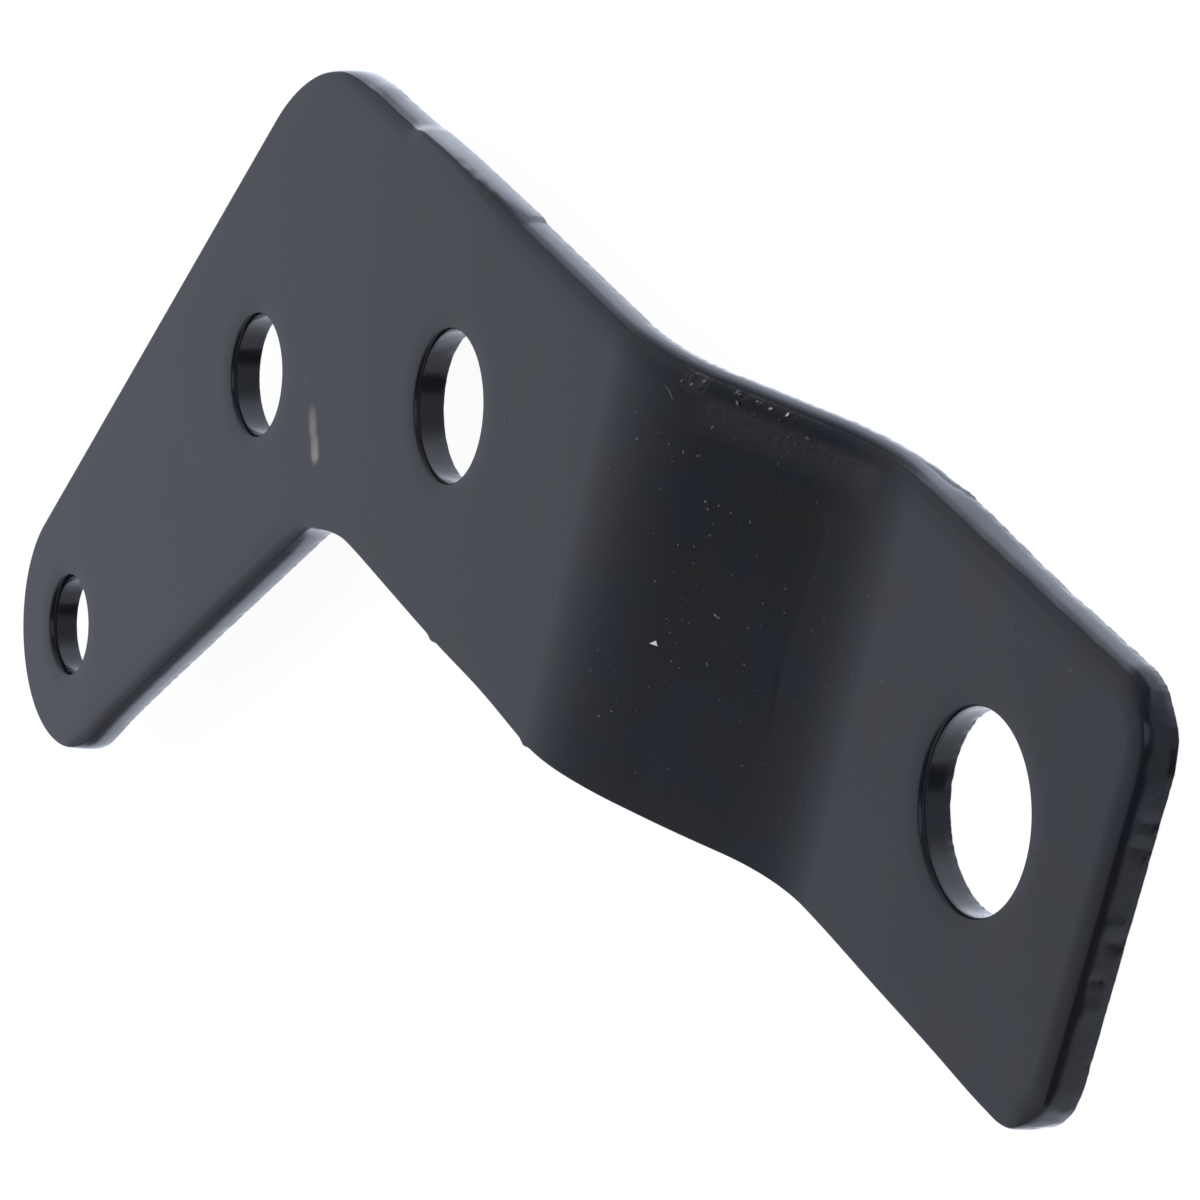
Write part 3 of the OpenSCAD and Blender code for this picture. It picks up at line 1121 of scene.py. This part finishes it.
def makeFloor():
    half = floorPaper["size"] / 2
    mesh = bpy.data.meshes.new("floor")
    corners = [(-half, -half, 0), (half, -half, 0), (half, half, 0), (-half, half, 0)]
    mesh.from_pydata(corners, [], [(0, 1, 2, 3)])
    floor = bpy.data.objects.new("floor", mesh)
    bpy.context.scene.collection.objects.link(floor)
    floor.location.z = -floorPaper["drop"]
    material, tree = newMaterial("floorPaper")
    tree.nodes.remove(tree.nodes["Principled BSDF"])
    out = tree.nodes["Material Output"]
    real = addNode(tree, "ShaderNodeBsdfDiffuse", Color=floorPaper["color"])
    faint = addNode(tree, "ShaderNodeBsdfDiffuse", Color=(floorPaper["shade"],) * 3 + (1,))
    glow = addNode(tree, "ShaderNodeEmission", Strength=floorPaper["white"])
    seen = addNode(tree, "ShaderNodeAddShader")
    link(tree, faint.outputs[0], seen.inputs[0])
    link(tree, glow.outputs[0], seen.inputs[1])
    path = addNode(tree, "ShaderNodeLightPath")
    # reflections look through the floor and see the white ground of the surround
    mirrored = addNode(tree, "ShaderNodeBsdfTransparent")
    byGloss = mixShaders(tree, path.outputs["Is Glossy Ray"], real.outputs[0], mirrored.outputs[0])
    byView = mixShaders(tree, path.outputs["Is Camera Ray"], byGloss, seen.outputs[0])
    link(tree, byView, out.inputs["Surface"])
    mesh.materials.append(material)
    return floor


# The soft surround. Each pair is where along x, y or z one brightness turns into the next: x runs
# from the leg to the free end, on whose side the camera stands, y across the strip, and z up.
surround = {
    "high": 0.66, "low": 0.22, "fallsX": (-0.8, 0.35),       # from the far side to the camera's
    "dark": 0.1, "darkX": (0.25, 0.5),                       # and darker still behind the camera
    "side": 0.5, "sideY": (-0.43, -0.36), "sideFromX": (-0.6, 0.0), "sideToX": (0.3, 0.42),
    "foot": 0.6, "footZ": (0.05, 0.42),      # share of its brightness just above the horizon
    # the white ground below it, which gloss reflects
    "ground": 1.3,
    "farMore": 0.3, "farX": (-0.86, -0.74),  # how much brighter it is at its far end
    "near": 0.45, "nearX": (-0.1, 0.6),      # its near side, which is brighter on the leg's side
    "nearLeg": 0.8, "nearLegY": (-0.43, -0.385),
    "gap": (0.876, -0.143, -0.466), "gapShare": 0.2,         # and darker where the camera stands in it
    "gapRange": (0.955, 0.995),
    "rise": 0.26, "riseX": (0.0, 0.6),       # how far it rises past the horizon towards the near side
    "riseMore": 0.05, "riseY": (0.0, 0.4),
    "horizonZ": (-0.22, 0.02),
    # a pale window that stands high beside the free end
    "window": (0.659, 0.468, 0.589), "windowPower": 0.7, "windowRange": (0.93, 0.99),
    "tint": (0.92, 0.99, 1.15),
}


def softRange(tree, source, limits, levels):
    return mapRange(tree, source, limits, levels, interpolation_type="SMOOTHSTEP")


def blended(tree, share, a, b):
    mix = addNode(tree, "ShaderNodeMix", data_type="FLOAT")
    link(tree, share, mix.inputs[0])
    for socket, value in ((mix.inputs[2], a), (mix.inputs[3], b)):
        if isinstance(value, float):
            socket.default_value = value
        else:
            link(tree, value, socket)
    return mix.outputs[0]


# How nearly two directions agree: 1 where they are the same
def agreement(tree, direction, other):
    made = addNode(tree, "ShaderNodeVectorMath", operation="DOT_PRODUCT")
    link(tree, direction, made.inputs[0])
    made.inputs[1].default_value = other
    return made.outputs["Value"]


# Soft light all round, weaker on the camera's side, over a white ground. The view sees it white.
def makeSurround():
    around = surround
    world = bpy.data.worlds.new("studio")
    bpy.context.scene.world = world
    world.use_nodes = True
    tree = world.node_tree
    direction = addNode(tree, "ShaderNodeTexCoord").outputs["Generated"]
    split = addNode(tree, "ShaderNodeSeparateXYZ")
    link(tree, direction, split.inputs[0])
    x, y, z = (split.outputs[axis] for axis in "XYZ")
    along = softRange(tree, x, around["fallsX"], (around["high"], around["low"]))
    dark = softRange(tree, x, around["darkX"], (0.0, around["low"] - around["dark"]))
    aside = joined(tree, "MULTIPLY", softRange(tree, y, around["sideY"], (1.0, 0.0)),
                   softRange(tree, x, around["sideFromX"], (0.0, 1.0)))
    aside = joined(tree, "MULTIPLY", aside, softRange(tree, x, around["sideToX"], (1.0, 0.0)))
    above = blended(tree, aside, joined(tree, "SUBTRACT", along, dark), around["side"])
    foot = softRange(tree, z, around["footZ"], (around["foot"], 1.0))
    above = joined(tree, "MULTIPLY", above, foot)
    seen = softRange(tree, agreement(tree, direction, around["gap"]), around["gapRange"],
                     (1.0, around["gapShare"]))
    near = softRange(tree, y, around["nearLegY"], (around["nearLeg"], around["near"]))
    brighter = around["ground"] + around["farMore"]
    far = softRange(tree, x, around["farX"], (brighter, around["ground"]))
    ground = blended(tree, softRange(tree, x, around["nearX"], (0.0, 1.0)), far, near)
    ground = joined(tree, "MULTIPLY", ground, seen)
    lift = joined(tree, "ADD", softRange(tree, x, around["riseX"], (0.0, around["rise"])),
                  softRange(tree, y, around["riseY"], (0.0, around["riseMore"])))
    height = joined(tree, "SUBTRACT", z, lift)
    level = blended(tree, softRange(tree, height, around["horizonZ"], (0.0, 1.0)), ground, above)
    shine = softRange(tree, agreement(tree, direction, around["window"]), around["windowRange"],
                      (0.0, around["windowPower"]))
    level = joined(tree, "ADD", level, shine)
    tone = addNode(tree, "ShaderNodeVectorMath", operation="SCALE")
    tone.inputs[0].default_value = around["tint"]
    link(tree, level, tone.inputs["Scale"])
    view = addNode(tree, "ShaderNodeLightPath").outputs["Is Camera Ray"]
    color = mixColors(tree, view, tone.outputs[0], (1.0, 1.0, 1.0, 1.0))
    link(tree, color, tree.nodes["Background"].inputs["Color"])


# Two soft boxes: the direction and distance to each, its width and height, all in metres, and the
# brightness that its face shows
lamps = {
    "keyBox": {"direction": (0.50, 0.42, 0.76), "distance": 1.0, "size": (0.6, 0.6), "radiance": 6.0},
    "topBox": {"direction": (0.05, 0.72, 0.68), "distance": 1.2, "size": (0.6, 0.4), "radiance": 1.2},
}
lampAim = Vector((-0.065, -0.01, 0.01))      # near the bracket's middle


def makeLamp(name, lamp):
    width, height = lamp["size"]
    light = bpy.data.lights.new(name, "AREA")
    light.shape = "RECTANGLE"
    light.size = width
    light.size_y = height
    light.energy = lamp["radiance"] * math.pi * width * height
    box = bpy.data.objects.new(name, light)
    bpy.context.scene.collection.objects.link(box)
    away = Vector(lamp["direction"]).normalized()
    box.location = lampAim + away * lamp["distance"]
    box.rotation_euler = (-away).to_track_quat("-Z", "Y").to_euler()
    box.visible_glossy = False               # so near that the gloss would show its outline


makeFloor()
makeSurround()
for name, lamp in lamps.items():
    makeLamp(name, lamp)
bpy.context.scene.view_settings.view_transform = "Standard"
print("studio lit")
